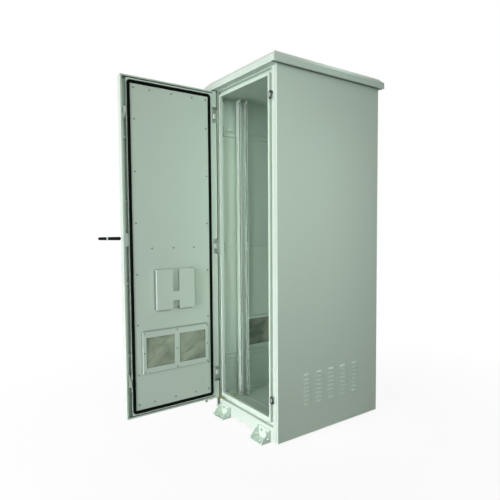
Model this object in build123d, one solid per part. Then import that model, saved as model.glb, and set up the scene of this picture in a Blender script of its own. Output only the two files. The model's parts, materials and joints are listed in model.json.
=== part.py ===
"""Roadside utility cabinet: folded sheet body on anchor feet, with one hinged door standing open."""
import os
from math import hypot, radians, tan

from build123d import *

# Body, in millimetres: X to the right, Y to the back, Z up, the ground at zero
body_width = 624.0
body_depth = 778.0
body_height = 1957.0
ground_gap = 14.0
sheet = 2.0
overrun = 1.0

# Folds of the front frame: post face, rain gutter and sealing lip
panel_return = 14.0
panel_gap = 1.5
column_width = 26.5
gutter_width = 22.0
gutter_depth = 24.0
lip_width = 12.0
lip_depth = 18.0
plinth_face = 71.0
sill_lip = 23.0
header_face = 5.0

# Roof cap
roof_front = 42.0
roof_side = 33.0
roof_back = 15.5
fascia_height = 32.0
roof_bevel = 25.0
soffit_width = 58.0

# Inside of the body
ceiling_drop = 21.0
floor_level = 62.0
floor_flange = 25.0
rear_screw_rows = 6
rear_screw_margin = 40.0
gland_side_gap = 0.5
gland_front = 138.0
gland_depth = 250.0
gland_rim = 20.0

# Depth rails on the side walls
rail_names = ("lower", "middle", "upper")
rail_above_floor = 236.0
rail_below_ceiling = 203.0
rail_height = 56.0
rail_stand = 12.0
rail_front = 64.0
rail_back = 44.0
rail_hole = 9.0
rail_pitch = 20.0

# Nineteen-inch rack uprights
bracket_length = 22.5
rack_hole_inset = 7.0
rack_pitch = 44.45
rack_hole_shares = (1 / 7, 1 / 2, 6 / 7)
rack_hole = 9.5
upright_flange = 50.0
upright_depth = 54.0
upright_front = 140.0
upright_gap = 11.0
bracket_height = 40.0
bracket_inset = 9.0

# Louvres of the side panels and of the door
louvre_proud = 6.0
louvre_height = 9.0
louvre_sheet = 1.2
louvre_length = 37.0
louvre_row_pitch = 23.3
louvre_column_pitch = 95.0
louvre_rows = 8
right_louvre_level = 166.0
right_louvre_columns = 5
right_louvre_middle = -4.0
left_louvre_level = 362.0
left_louvre_columns = 4
left_louvre_middle = 24.0
door_louvre_rows = 7
door_louvre_pitch = 23.0

# Filter holders
filter_sheet = 1.5
filter_border = 15.0
filter_stand = 11.0
filter_play = 1.0
filter_reach = 16.0

# Anchor feet
foot_width = 104.0
foot_reach = 62.0
foot_height = 64.0
foot_plate = 4.0
foot_centre = 196.0
foot_toe = 14.0
foot_shoulder = 12.0
foot_slot_length = 24.0
foot_slot_width = 13.0
foot_slot_reach = 36.0
cheek_hole = 11.0
bolt_head = 13.0
bolt_head_height = 5.0
bolt_spread = 44.0
bolt_level = 44.0

# Door pan, set in from the posts and the roof
door_hinge_margin = 2.5
door_free_margin = 5.5
door_bottom = 88.0
door_top_gap = 7.0
door_depth = 42.0
door_gap = 5.0
door_lip = 8.0
door_open_angle = 90.0

# Inner frame, liner and seal of the door
frame_hinge_side = 27.0
frame_free_side = 32.0
frame_ends = 14.0
frame_face = 58.0
frame_return = 20.0
gasket_hinge_side = 40.0
gasket_free_side = 33.0
gasket_top = 22.0
gasket_bottom = 20.0
gasket_width = 16.0
gasket_corner = 26.0
gasket_play = 0.5
liner_sheet = 1.5
liner_hinge_side = 62.0
liner_free_side = 58.0
liner_bottom = 56.0
liner_top = 50.0
screw_inset = 12.0
screw_head = 8.0
screw_height = 2.4
liner_screw_pitch = 130.0
liner_row_margin = 178.0
liner_screw_columns = 3
liner_screw_rows = 6
cross_rail_level = 1023.0
cross_rail_height = 60.0

# Document pocket
pocket_width = 235.0
pocket_level = 675.0
pocket_height = 228.0
pocket_depth = 24.0
pocket_sheet = 2.0
pocket_slot = 39.0
pocket_slot_depth = 127.0
pocket_foot_slot = 47.0

# Door filter
door_filter_hinge_margin = 18.0
door_filter_free_margin = 35.0
door_filter_level = 328.0
door_filter_height = 232.0
door_window_border = 19.5
door_window_gap = 33.0
door_window_height = 170.0
door_window_level = 357.0
door_louvre_inset = 10.0

# Hinges
hinge_from_bottom = 150.0
hinge_from_top = 140.0
hinge_height = 84.0
hinge_edge = 15.0
hinge_inset = 26.0
hinge_middle = 30.0
hinge_play = 0.5
hinge_arm = 10.0
hinge_plate = 3.0
hinge_plate_width = 24.0
hinge_leaf = 4.0
hinge_leaf_depth = 22.0
pin_radius = 4.0
pin_play = 0.05
knuckle_radius = 7.0
notch_play = 4.0
notch_past_pin = 12.0

# Lock: case, rods, guides and keepers
rod_from_edge = 20.0
rod_width = 10.0
rod_thick = 4.0
rod_play = 0.4
rod_stand = 10.0
rod_from_top = 232.0
rod_from_bottom = 242.0
case_bottom = 1037.0
case_top = 1110.0
case_width = 22.0
case_depth = 30.0
case_wall = 1.5
rod_overlap = 14.0
guide_shares = (0.3, 0.85)
guide_height = 16.0
guide_depth = 14.0
tip_width = 18.0
tip_block = 22.0
tip_step = 15.0
tip_length = 66.0
tip_thick = 6.0
tip_proud = 2.0
tip_play = 1.5
keeper_width = 20.0
keeper_height = 44.0
keeper_sheet = 3.0
keeper_post = 10.0
keeper_post_height = 11.0
upper_keeper_clear = 4.0
lower_keeper_clear = 18.0

# Handle on the outer face
handle_level = 1080.0
handle_plate_width = 32.0
handle_plate_length = 176.0
handle_plate_above = 24.0
handle_plate_thick = 5.0
spindle_radius = 5.5
spindle_play = 0.06
cam_half_width = 4.0
cam_length = 16.6
cam_thick = 4.0
hub_radius = 13.0
hub_length = 8.0
hub_gap = 0.4
clevis_reach = 14.0
clevis_width = 18.0
clevis_cheek = 5.0
lever_root = 12.0
lever_play = 0.4
lever_pin_radius = 3.0
lever_knuckle = 6.4
lever_length = 132.0
lever_width = 19.0
lever_tip_width = 16.0
lever_thick = 11.0
lever_neck = 16.0
lever_edge = 2.5
lever_lift = 30.0

# Earth wire and its two ends
stud_size = 12.0
stud_length = 22.0
stud_from_hinge = 80.0
stud_behind_lip = 20.0
wire_radius = 6.2
wire_play = 4.3
wire_drop = 10.0
wire_arc_share = 0.3
door_wire_end = 14.0
door_wire_shares = ((0.0, 0.0), (0.5, 0.0), (1.0, 1.0))
floor_stud_length = 34.0
frame_wire_from_pin = (
    (0.0, 12.0, -10.0), (17.0, 26.0, -8.0), (39.0, 56.0, -6.0), (62.0, 80.0, 6.0), (96.0, 86.0, 12.0),
    (120.0, 82.0, 0.0), (137.0, 82.0, 0.0),
)

# Places that follow from the sizes above
half_width = body_width / 2
front_y = -body_depth / 2
back_y = body_depth / 2
inner_x = half_width - sheet
rear_y = back_y - 2 * sheet
plinth_z = ground_gap
top_z = ground_gap + body_height
column_x = half_width - panel_return - panel_gap
gutter_x = column_x - column_width
lip_x = gutter_x - gutter_width
open_x = lip_x - lip_width
web_x = inner_x - rail_stand - bracket_length
rack_x = web_x - upright_flange
gland_half = rack_x - gland_side_gap
gutter_bottom_z = plinth_z + plinth_face
lip_bottom_z = gutter_bottom_z + gutter_width
open_bottom_z = lip_bottom_z + sill_lip
gutter_top_z = top_z - header_face
lip_top_z = gutter_top_z - gutter_width
open_top_z = lip_top_z - lip_width
gutter_y = front_y + gutter_depth
frame_back_y = gutter_y + sheet
floor_z = ground_gap + floor_level
ceiling_z = top_z - ceiling_drop
door_left = door_hinge_margin - column_x
door_right = column_x - door_free_margin
door_bottom_z = ground_gap + door_bottom
door_top_z = top_z - door_top_gap
door_face_y = front_y - door_gap
door_outer_y = door_face_y - door_depth
door_skin_y = door_outer_y + sheet
liner_y = door_face_y + liner_sheet
pin_x = door_left + hinge_edge
pin_y = door_face_y - hinge_inset
rod_x = door_right - rod_from_edge
handle_z = ground_gap + handle_level
door_axis = Axis((pin_x, pin_y, 0), (0, 0, 1))
door_filter_left = door_left + liner_hinge_side + door_filter_hinge_margin
door_filter_right = door_right - liner_free_side - door_filter_free_margin
door_filter_width = door_filter_right - door_filter_left
door_filter_middle = (door_filter_left + door_filter_right) / 2
door_window = (door_filter_width - door_window_gap) / 2 - door_window_border
frame_wire_route = [(pin_x + x, pin_y + y, door_bottom_z + z) for x, y, z in frame_wire_from_pin]
upper_rod_z = door_top_z - rod_from_top
lower_rod_z = door_bottom_z + rod_from_bottom
hinge_low_z = door_bottom_z + hinge_from_bottom
hinge_high_z = door_top_z - hinge_from_top
hinge_zs = (hinge_low_z, (hinge_low_z + hinge_high_z) / 2, hinge_high_z)
rail_low_z = floor_z + rail_above_floor
rail_high_z = ceiling_z - rail_below_ceiling
rail_zs = (rail_low_z, (rail_low_z + rail_high_z) / 2, rail_high_z)


def level(height):
    """Height above the ground of a place measured from the underside of the body."""
    return ground_gap + height


def sheet_outline(path, thick):
    """Outline of a folded sheet: the path is one face, and the sheet lies to its left."""
    def unit(start, end):
        run = hypot(end[0] - start[0], end[1] - start[1])
        return (end[0] - start[0]) / run, (end[1] - start[1]) / run

    steps = [unit(a, b) for a, b in zip(path, path[1:])]
    normals = [(-dy, dx) for dx, dy in steps]
    before = normals[:1] + normals
    after = normals + normals[-1:]
    other = []
    for point, n0, n1 in zip(path, before, after):
        spread = 1 + n0[0] * n1[0] + n0[1] * n1[1]
        shift = [thick * (before + after) / spread for before, after in zip(n0, n1)]
        other.append((point[0] + shift[0], point[1] + shift[1]))
    return list(path) + other[::-1]


def outline_face(points):
    return make_face(Polyline(*points, close=True))


def run_up(face, z_low, z_high):
    """Extrude an X-Y section between two heights."""
    return Pos(0, 0, z_low) * extrude(face, z_high - z_low)


def run_across(face, x_low, x_high):
    """Extrude a Y-Z section between two places across the width."""
    return Pos(x_low, 0, 0) * extrude(Plane.YZ * face, x_high - x_low)


def run_back(face, y_front, y_back):
    """Extrude an X-Z section between two depths."""
    return Pos(0, y_back, 0) * extrude(Plane.XZ * face, y_back - y_front)


def rect(u_low, u_high, v_low, v_high):
    return Pos((u_low + u_high) / 2, (v_low + v_high) / 2) * Rectangle(u_high - u_low, v_high - v_low)


def block(x_low, x_high, y_low, y_high, z_low, z_high):
    return run_up(rect(x_low, x_high, y_low, y_high), z_low, z_high)


def hexagon_head(across, height):
    """Hexagon head standing on the X-Y plane."""
    return extrude(RegularPolygon(across / 2, 6, major_radius=False), height)


def mirrored(shape):
    return mirror(shape, about=Plane.YZ)


def open_door(shape):
    """Swing a piece of the closed door to the open place it has at rest."""
    return shape.rotate(door_axis, -door_open_angle)


def spread(count, pitch, middle):
    return [middle + pitch * (i - (count - 1) / 2) for i in range(count)]


def louvre(length):
    """Hood and cavity of one pressed louvre on the X-Z plane, facing -Y and open below."""
    slope = hypot(louvre_proud, louvre_height)
    rim = louvre_sheet * slope / louvre_height
    crown = louvre_sheet * slope / louvre_proud
    hood = outline_face([(0, 0), (-louvre_proud, 0), (0, louvre_height)])
    cavity = outline_face([
        (sheet + overrun, -overrun), (rim - louvre_proud, -overrun),
        (0, louvre_height - crown), (sheet + overrun, louvre_height - crown),
    ])
    inner = length - 2 * louvre_sheet
    return run_across(hood, -length / 2, length / 2), run_across(cavity, -inner / 2, inner / 2)


def louvred(panel, places, length):
    """Press louvres into a panel at the given places."""
    hood, cavity = louvre(length)
    panel = panel + [place * hood for place in places]
    return panel - [place * cavity for place in places]


def roof_cap():
    width = body_width + 2 * roof_side
    depth = roof_front + body_depth + roof_back
    height = fascia_height + roof_bevel
    middle_y = (roof_back - roof_front) / 2
    cap = Pos(0, middle_y, top_z) * Box(width, depth, height, align=(Align.CENTER, Align.CENTER, Align.MIN))
    cap = chamfer(cap.faces().sort_by(Axis.Z)[-1].edges(), roof_bevel)
    cap = offset(cap, -sheet, openings=cap.faces().sort_by(Axis.Z)[0])
    soffit = Rectangle(width, depth) - Rectangle(width - 2 * soffit_width, depth - 2 * soffit_width)
    return cap + Pos(0, middle_y, 0) * run_up(soffit, top_z, top_z + sheet)


def side_panel(columns, middle, low, outward):
    """One side sheet, folded round its front and back edges and louvred near the bottom."""
    path = [(column_x + panel_gap, front_y), (half_width, front_y), (half_width, back_y),
            (column_x + panel_gap, back_y)]
    panel = run_up(outline_face(sheet_outline(path, sheet)), plinth_z, top_z)
    places = [Pos(half_width, y, level(low) + row * louvre_row_pitch) * Rot(0, 0, outward)
              for y in spread(columns, louvre_column_pitch, middle) for row in range(louvre_rows)]
    return louvred(panel, places, louvre_length)


def front_post():
    """Right-hand post: one folded section, mitred into the header and the sill."""
    path = [(column_x, front_y), (gutter_x, front_y), (gutter_x, gutter_y), (lip_x, gutter_y),
            (lip_x, front_y), (open_x, front_y), (open_x, front_y + lip_depth)]
    post = run_up(outline_face(sheet_outline(path, -sheet)), plinth_z, top_z)
    kept = outline_face([
        (half_width, plinth_z), (gutter_x, plinth_z), (gutter_x, gutter_bottom_z), (lip_x, lip_bottom_z),
        (open_x, open_bottom_z), (open_x, open_top_z), (lip_x, lip_top_z), (gutter_x, gutter_top_z),
        (gutter_x, top_z), (half_width, top_z),
    ])
    return post & run_back(kept, front_y - overrun, frame_back_y + overrun)


def cross_member(edge_z, gutter_z, lip_z, open_z, side):
    """Header or sill: the post's section turned level and mitred at both ends."""
    path = [(front_y, edge_z), (front_y, gutter_z), (gutter_y, gutter_z), (gutter_y, lip_z),
            (front_y, lip_z), (front_y, open_z), (front_y + lip_depth, open_z)]
    bar = run_across(outline_face(sheet_outline(path, side * sheet)), -gutter_x, gutter_x)
    half = [(gutter_x, edge_z), (gutter_x, gutter_z), (lip_x, lip_z), (open_x, open_z)]
    kept = outline_face(half + [(-x, z) for x, z in half[::-1]])
    return bar & run_back(kept, front_y - overrun, frame_back_y + overrun)


def front_sill():
    sill = cross_member(plinth_z, gutter_bottom_z, lip_bottom_z, open_bottom_z, -1)
    through_x, through_y, through_z = min(frame_wire_route, key=lambda point: abs(point[1] - frame_back_y))
    hole = Pos(through_x, 0, through_z) * Rot(90, 0, 0) * Cylinder(wire_radius + wire_play, 2 * body_depth)
    return sill - hole


def floor_plate():
    """Floor folded up along both side walls, with an opening under the gland plate."""
    low = floor_z - sheet
    high = floor_z + floor_flange
    path = [(-inner_x, high), (-inner_x, low), (inner_x, low), (inner_x, high)]
    floor = run_back(outline_face(sheet_outline(path, sheet)), frame_back_y, rear_y)
    gland_y = frame_back_y + gland_front
    return floor - block(gland_rim - gland_half, gland_half - gland_rim, gland_y + gland_rim,
                         gland_y + gland_depth - gland_rim, low - overrun, floor_z + overrun)


def gland_plate():
    gland_y = frame_back_y + gland_front
    return block(-gland_half, gland_half, gland_y, gland_y + gland_depth, floor_z, floor_z + sheet)


def gland_plate_screws():
    gland_y = frame_back_y + gland_front
    side = gland_half - gland_rim / 2
    ends = (gland_y + gland_rim / 2, gland_y + gland_depth - gland_rim / 2)
    head = hexagon_head(screw_head, screw_height)
    return [Pos(x, y, floor_z + sheet) * head for x in (-side, 0, side) for y in ends]


def ceiling_plate():
    depth = rear_y - frame_back_y
    tray = Pos(0, frame_back_y + depth / 2, ceiling_z) * Box(
        2 * inner_x, depth, top_z - ceiling_z, align=(Align.CENTER, Align.CENTER, Align.MIN))
    return offset(tray, -sheet, openings=tray.faces().sort_by(Axis.Z)[-1])


def rear_panel():
    """Panel with joggled edges that are screwed behind the side panels' rear folds."""
    step = column_x - sheet
    path = [(-inner_x, rear_y), (-step, rear_y), (-step, rear_y + sheet), (step, rear_y + sheet),
            (step, rear_y), (inner_x, rear_y)]
    return run_up(outline_face(sheet_outline(path, sheet)), plinth_z, top_z)


def rear_panel_screws():
    head = hexagon_head(screw_head, screw_height)
    side = half_width - panel_return / 2
    rise = (body_height - 2 * rear_screw_margin) / (rear_screw_rows - 1)
    return [Pos(x, back_y, z) * Rot(-90, 0, 0) * head
            for x in (-side, side) for z in spread(rear_screw_rows, rise, plinth_z + body_height / 2)]


def depth_rail(z):
    """Right-hand rail: a channel with its open back on the side wall and a row of square holes."""
    low = z - rail_height / 2
    high = z + rail_height / 2
    path = [(inner_x, low), (inner_x - rail_stand, low), (inner_x - rail_stand, high), (inner_x, high)]
    start = front_y + rail_front
    end = back_y - rail_back
    rail = run_back(outline_face(sheet_outline(path, -sheet)), start, end)
    count = int((end - start) // rail_pitch)
    hole = Box(2 * rail_stand, rail_hole, rail_hole)
    row = spread(count, rail_pitch, (start + end) / 2)
    return rail - [Pos(inner_x - rail_stand, y, z) * hole for y in row]


def rack_upright():
    """Right-hand upright: a channel open to the middle, with the rack pattern in its front flange."""
    front = front_y + upright_front
    back = front + upright_depth
    path = [(rack_x, front), (web_x, front), (web_x, back), (rack_x, back)]
    base = floor_z
    top = ceiling_z - upright_gap
    upright = run_up(outline_face(sheet_outline(path, sheet)), base, top)
    units = int((top - base) // rack_pitch)
    start = base + (top - base - units * rack_pitch) / 2
    hole = Box(rack_hole, upright_depth, rack_hole)
    return upright - [Pos(rack_x + rack_hole_inset, front, start + rack_pitch * (unit + share)) * hole
                      for unit in range(units) for share in rack_hole_shares]


def upright_brackets():
    """Folded spacers that hold the right-hand upright on its three rails."""
    wall = inner_x - rail_stand
    start = front_y + upright_front + bracket_inset
    end = front_y + upright_front + upright_depth - bracket_inset
    path = [(wall, start), (web_x, start), (web_x, end), (wall, end)]
    section = outline_face(sheet_outline(path, -sheet))
    return [run_up(section, z - bracket_height / 2, z + bracket_height / 2) for z in rail_zs]


def filter_holder(width, height, windows):
    """Shallow tray with windows, standing off the X-Z plane towards +Y and open at the back."""
    tray = Box(width, filter_stand, height, align=(Align.CENTER, Align.MIN, Align.MIN))
    tray = offset(tray, -filter_sheet, openings=tray.faces().sort_by(Axis.Y)[0])
    for window in windows:
        tray -= run_back(window, -overrun, filter_stand + overrun)
    return tray


def side_field(columns):
    """Width and height of the filter holder that covers a side panel's louvres."""
    width = (columns - 1) * louvre_column_pitch + louvre_length + 2 * filter_reach + 2 * filter_border
    height = (louvre_rows - 1) * louvre_row_pitch + louvre_height + 2 * filter_border
    return width, height


def side_filter(columns, middle, low):
    """Frame and mat behind a side panel's louvres, as on the right-hand wall."""
    width, height = side_field(columns)
    reach = width / 2 - filter_border
    window = rect(-reach, reach, filter_border, height - filter_border)
    place = Pos(inner_x, middle, level(low) - filter_border) * Rot(0, 0, 90)
    mat = filter_mat(width - 2 * filter_sheet, height - 2 * filter_sheet)
    return place * filter_holder(width, height, [window]), place * Pos(0, 0, filter_sheet) * mat


def filter_mat(width, height):
    """Mat that fills a holder from its back to just behind the window."""
    thick = filter_stand - filter_sheet
    return Pos(0, 0, filter_play) * Box(width - 2 * filter_play, thick, height - 2 * filter_play,
                                        align=(Align.CENTER, Align.MIN, Align.MIN))


def anchor_foot():
    """Angle bracket with two cheeks; its back face is on the X-Z plane and it reaches towards -Y."""
    angle = sheet_outline([(0, foot_height), (0, 0), (-foot_reach, 0)], -foot_plate)
    foot = run_across(outline_face(angle), -foot_width / 2, foot_width / 2)
    cheek = outline_face([(0, 0), (0, foot_height), (-foot_shoulder, foot_height), (-foot_reach, foot_toe),
                          (-foot_reach, 0)])
    for side in (-foot_width / 2, foot_width / 2 - foot_plate):
        foot += run_across(cheek, side, side + foot_plate)
    hole_place = Pos(0, -foot_reach / 3, foot_height / 3)
    foot -= hole_place * Rot(0, 90, 0) * Cylinder(cheek_hole / 2, 2 * foot_width)
    slot = SlotOverall(foot_slot_length, foot_slot_width)
    return foot - Pos(0, -foot_slot_reach, -overrun) * extrude(slot, foot_plate + 2 * overrun)


def foot_place(x, end):
    """Place of a foot at the front (-1) or the back (1) of the plinth."""
    turn = 0 if end < 0 else 180
    return Pos(x, end * body_depth / 2, 0) * Rot(0, 0, turn)


def foot_bolts():
    head = Rot(90, 0, 0) * hexagon_head(bolt_head, bolt_head_height)
    return [foot_place(x, end) * Pos(shift, -foot_plate, bolt_level) * head
            for x in (-foot_centre, foot_centre) for end in (-1, 1)
            for shift in (-bolt_spread / 2, bolt_spread / 2)]


def hinge_frame_leaf(z):
    """Plate on the post with two arms, the upper and lower knuckles and the pin of one hinge."""
    middle = -(column_x + gutter_x) / 2
    leaf = block(middle - hinge_plate_width / 2, middle + hinge_plate_width / 2,
                 front_y - hinge_plate, front_y, z - hinge_height / 2, z + hinge_height / 2)
    length = (hinge_height - hinge_middle) / 2 - hinge_play
    for side in (-1, 1):
        centre = z + side * (hinge_height - length) / 2
        leaf += block(pin_x - hinge_arm / 2, pin_x + hinge_arm / 2, pin_y, front_y - hinge_plate / 2,
                      centre - length / 2, centre + length / 2)
        leaf += Pos(pin_x, pin_y, centre) * Cylinder(knuckle_radius, length)
    return leaf + Pos(pin_x, pin_y, z) * Cylinder(pin_radius, hinge_height)


def hinge_door_leaf(z):
    """Plate on the door's inner frame with the middle knuckle of one hinge."""
    wall = door_left + frame_hinge_side
    leaf = block(wall - hinge_leaf, wall, pin_y - knuckle_radius, pin_y - knuckle_radius + hinge_leaf_depth,
                 z - hinge_height / 2, z + hinge_height / 2)
    leaf += block(pin_x, wall, pin_y - pin_radius, pin_y + pin_radius,
                  z - hinge_middle / 2, z + hinge_middle / 2)
    leaf += Pos(pin_x, pin_y, z) * Cylinder(knuckle_radius, hinge_middle)
    return leaf - Pos(pin_x, pin_y, z) * Cylinder(pin_radius + pin_play, 2 * hinge_height)


def door_windows():
    """The two filter windows, as X-Z rectangles of the closed door."""
    low = level(door_window_level)
    pitch = door_window + door_window_gap
    return [rect(x - door_window / 2, x + door_window / 2, low, low + door_window_height)
            for x in spread(2, pitch, door_filter_middle)]


def door_pan():
    """Outer skin with flanges and lips, the hinge-side lip on the frame; louvred, notched at the hinges."""
    pan = block(door_left, door_right, door_outer_y, door_face_y, door_bottom_z, door_top_z)
    inside = pan.faces().sort_by(Axis.Y)[-1]
    lips = rect(door_left, door_right, door_bottom_z, door_top_z)
    lips -= rect(door_left + frame_hinge_side, door_right - door_lip,
                 door_bottom_z + door_lip, door_top_z - door_lip)
    pan = offset(pan, -sheet, openings=inside) + run_back(lips, door_face_y - sheet, door_face_y)
    places = []
    for window in door_windows():
        centre = window.center()
        places += [Pos(centre.X, door_outer_y, z - louvre_height / 2)
                   for z in spread(door_louvre_rows, door_louvre_pitch, centre.Y)]
    pan = louvred(pan, places, door_window - 2 * door_louvre_inset)
    notch = hinge_height / 2 + notch_play
    for z in hinge_zs:
        pan -= block(door_left - overrun, door_left + frame_hinge_side + overrun, pin_y - notch_past_pin,
                     door_face_y + overrun, z - notch, z + notch)
    return pan - spindle_hole()


def spindle_hole():
    bore = Rot(90, 0, 0) * Cylinder(spindle_radius + spindle_play, 2 * door_depth)
    return Pos(rod_x, door_outer_y, handle_z) * bore


def door_frame():
    """Stiffening frame inside the pan: outer wall, face under the seal and short inner return."""
    x_low = door_left + frame_hinge_side
    x_high = door_right - frame_free_side
    z_low = door_bottom_z + frame_ends
    z_high = door_top_z - frame_ends

    def ring(outer, inner, y_low):
        face = rect(x_low + outer, x_high - outer, z_low + outer, z_high - outer)
        face -= rect(x_low + inner, x_high - inner, z_low + inner, z_high - inner)
        return run_back(face, y_low, door_face_y)

    wall = ring(0, sheet, door_skin_y)
    face = ring(0, frame_face, door_face_y - sheet)
    inner = ring(frame_face - sheet, frame_face, door_face_y - frame_return)
    return wall + face + inner


def door_cross_rail():
    """Channel behind the liner that carries the middle row of screws."""
    low = level(cross_rail_level) - cross_rail_height / 2
    high = level(cross_rail_level) + cross_rail_height / 2
    back = door_face_y - frame_return
    path = [(back, low), (door_face_y, low), (door_face_y, high), (back, high)]
    x_low = door_left + frame_hinge_side + frame_face
    x_high = door_right - frame_free_side - frame_face
    return run_across(outline_face(sheet_outline(path, sheet)), x_low, x_high)


def door_gasket():
    x_low = door_left + gasket_hinge_side
    x_high = door_right - gasket_free_side
    z_low = door_bottom_z + gasket_bottom
    z_high = door_top_z - gasket_top
    width = x_high - x_low
    height = z_high - z_low
    loop = RectangleRounded(width, height, gasket_corner)
    loop -= RectangleRounded(width - 2 * gasket_width, height - 2 * gasket_width,
                             gasket_corner - gasket_width)
    loop = Pos((x_low + x_high) / 2, (z_low + z_high) / 2) * loop
    return run_back(loop, door_face_y, front_y - gasket_play)


def liner_edges():
    return (door_left + liner_hinge_side, door_right - liner_free_side, door_bottom_z + liner_bottom,
            door_top_z - liner_top)


def door_liner():
    liner = rect(*liner_edges())
    for window in door_windows():
        liner -= window
    return run_back(liner, door_face_y, liner_y)


def liner_screw_places():
    x_low, x_high, z_low, z_high = liner_edges()
    columns = spread(liner_screw_columns, liner_screw_pitch, (x_low + x_high) / 2)
    rise = (z_high - z_low - 2 * liner_row_margin) / (liner_screw_rows - 1)
    rows = spread(liner_screw_rows, rise, (z_low + z_high) / 2)
    ends = (z_low + screw_inset, z_high - screw_inset)
    places = [(x, z) for x in (x_low + screw_inset, x_high - screw_inset) for z in (*rows, *ends)]
    places += [(x, z) for x in columns for z in (*ends, level(cross_rail_level))]
    return places


def liner_screws():
    head = Rot(-90, 0, 0) * hexagon_head(screw_head, screw_height)
    return [Pos(x, liner_y, z) * head for x, z in liner_screw_places()]


def document_pocket():
    """Open-topped pocket whose front is cut to an H by a finger slot and a foot slot."""
    middle = (door_left + door_right) / 2
    x_low = middle - pocket_width / 2
    x_high = middle + pocket_width / 2
    low = level(pocket_level)
    high = low + pocket_height
    pocket = block(x_low, x_high, liner_y, liner_y + pocket_depth, low, high)
    pocket -= block(x_low + pocket_sheet, x_high - pocket_sheet, liner_y + pocket_sheet,
                    liner_y + pocket_depth - pocket_sheet, low + pocket_sheet, high + overrun)
    slot_low = middle - pocket_slot / 2
    slot_high = middle + pocket_slot / 2
    cut_front = liner_y + pocket_depth - 2 * pocket_sheet
    cut_back = liner_y + pocket_depth + overrun
    pocket -= block(slot_low, slot_high, cut_front, cut_back, high - pocket_slot_depth, high + overrun)
    foot_front = liner_y + 2 * pocket_sheet
    return pocket - block(slot_low, slot_high, foot_front, cut_back, low - overrun, low + pocket_foot_slot)


def door_filter_frame():
    low = level(door_filter_level)
    windows = [Pos(-door_filter_middle, -low) * window for window in door_windows()]
    holder = filter_holder(door_filter_width, door_filter_height, windows)
    return Pos(door_filter_middle, liner_y, low) * holder


def door_filter_mat(window):
    centre = window.center()
    width = door_window + filter_border
    height = door_window_height + filter_border
    return Pos(centre.X, liner_y, centre.Y - height / 2) * filter_mat(width, height)


def filter_frame_screws():
    low = level(door_filter_level)
    inset = screw_inset / 2 + filter_sheet
    xs = (door_filter_left + inset, door_filter_middle, door_filter_right - inset)
    zs = (low + inset, level(door_window_level) + door_window_height / 2, low + door_filter_height - inset)
    head = Rot(-90, 0, 0) * hexagon_head(screw_head, screw_height)
    return [Pos(x, liner_y + filter_stand, z) * head for x in xs for z in zs]


def rod_y():
    """Back and front of the lock rods' thickness, inside the pan."""
    front = door_skin_y + rod_stand
    return front, front + rod_thick


def lock_case():
    """Case round the cam, open towards the skin, with a slot for each rod."""
    case = block(rod_x - case_width / 2, rod_x + case_width / 2, door_skin_y, door_skin_y + case_depth,
                 level(case_bottom), level(case_top))
    case = offset(case, -case_wall, openings=case.faces().sort_by(Axis.Y)[0])
    low, high = rod_y()
    return case - block(rod_x - rod_width / 2 - rod_play, rod_x + rod_width / 2 + rod_play, low - rod_play,
                        high + rod_play, level(case_bottom) - overrun, level(case_top) + overrun)


def lock_rod(start, end):
    low, high = rod_y()
    return block(rod_x - rod_width / 2, rod_x + rod_width / 2, low, high, min(start, end), max(start, end))


def upper_rod_span():
    return level(case_top) - rod_overlap, upper_rod_z


def lower_rod_span():
    return level(case_bottom) + rod_overlap, lower_rod_z


def rod_tip(start, way):
    """Cranked tongue on a rod's end; way is 1 for up and -1 for down."""
    low = rod_y()[0]
    inner_high = door_face_y + tip_proud
    inner_low = inner_high - tip_thick
    step = way * tip_step
    points = [(low - tip_thick / 2, start), (low + tip_thick, start),
              (inner_high, start + way * tip_block + step), (inner_high, start + way * tip_length),
              (inner_low, start + way * tip_length), (inner_low, start + way * tip_block + step),
              (low - tip_thick / 2, start + way * tip_block)]
    return run_across(outline_face(points), rod_x - tip_width / 2, rod_x + tip_width / 2)


def rod_guides():
    """Two guides a rod, fixed to the door's inner frame, each with a running slot."""
    low, high = rod_y()
    wall = door_right - frame_free_side
    guides = []
    for start, end in (upper_rod_span(), lower_rod_span()):
        for share in guide_shares:
            z = start + (end - start) * share
            middle = (low + high) / 2
            guide = block(wall, rod_x + tip_width / 2, middle - guide_depth / 2, middle + guide_depth / 2,
                          z - guide_height / 2, z + guide_height / 2)
            guide -= block(rod_x - rod_width / 2 - rod_play, rod_x + rod_width / 2 + rod_play,
                           low - rod_play, high + rod_play, z - guide_height, z + guide_height)
            guides.append(guide)
    return guides


def keeper(start, way, clear):
    """Oval keeper on the right-hand post: the rod's tongue slides in behind its plate."""
    plate_back = door_face_y + tip_proud - tip_thick - tip_play
    first = start + way * (tip_length + clear)
    middle = first + way * keeper_height / 2
    oval = Pos(rod_x, middle) * Rot(0, 0, 90) * SlotOverall(keeper_height, keeper_width)
    plate = run_back(oval, plate_back - keeper_sheet, plate_back)
    far = first + way * keeper_height
    near = far - way * keeper_post_height
    post = block(rod_x, rod_x + keeper_post, plate_back - keeper_sheet / 2, front_y,
                 min(near, far), max(near, far))
    return plate + (post & run_back(oval, plate_back - keeper_sheet, front_y))


def handle_plate():
    """Rounded plate on the outer skin round the spindle."""
    low = handle_z + handle_plate_above - handle_plate_length
    outline = Pos(rod_x, low + handle_plate_length / 2) * RectangleRounded(
        handle_plate_width, handle_plate_length, handle_plate_width / 3)
    return run_back(outline, door_outer_y - handle_plate_thick, door_outer_y) - spindle_hole()


def lever_pivot_y():
    return door_outer_y - handle_plate_thick - hub_gap - hub_length - clevis_reach / 2


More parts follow.
